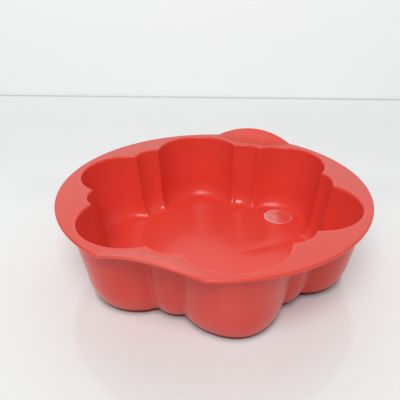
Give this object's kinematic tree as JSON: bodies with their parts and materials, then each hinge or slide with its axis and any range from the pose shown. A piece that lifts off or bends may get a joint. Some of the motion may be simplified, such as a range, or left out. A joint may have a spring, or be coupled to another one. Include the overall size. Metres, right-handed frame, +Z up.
{
  "type": "silicone cake mould",
  "caption": "Soft flower-shaped silicone cake mould with round lobes, a flat circular flange and raised finger grips; a round clear label lies on its floor.",
  "frame": {"origin": "centre of the resting face, on the table", "axes": "+Z up, towards the open top; +Y towards one finger grip and -Y towards the other; +X across the middle of two big lobes"},
  "size_m": [0.238, 0.238, 0.068],
  "materials": {
    "silicone": "satin red silicone with a faint sheen; glossier on the floor, slightly greyer on the flange",
    "label_film": "thin clear film, slightly milky, with a bright edge"
  },
  "bodies": {
    "root": {"mould_body": "silicone", "floor_label": "label_film"}
  },
  "joints": []
}
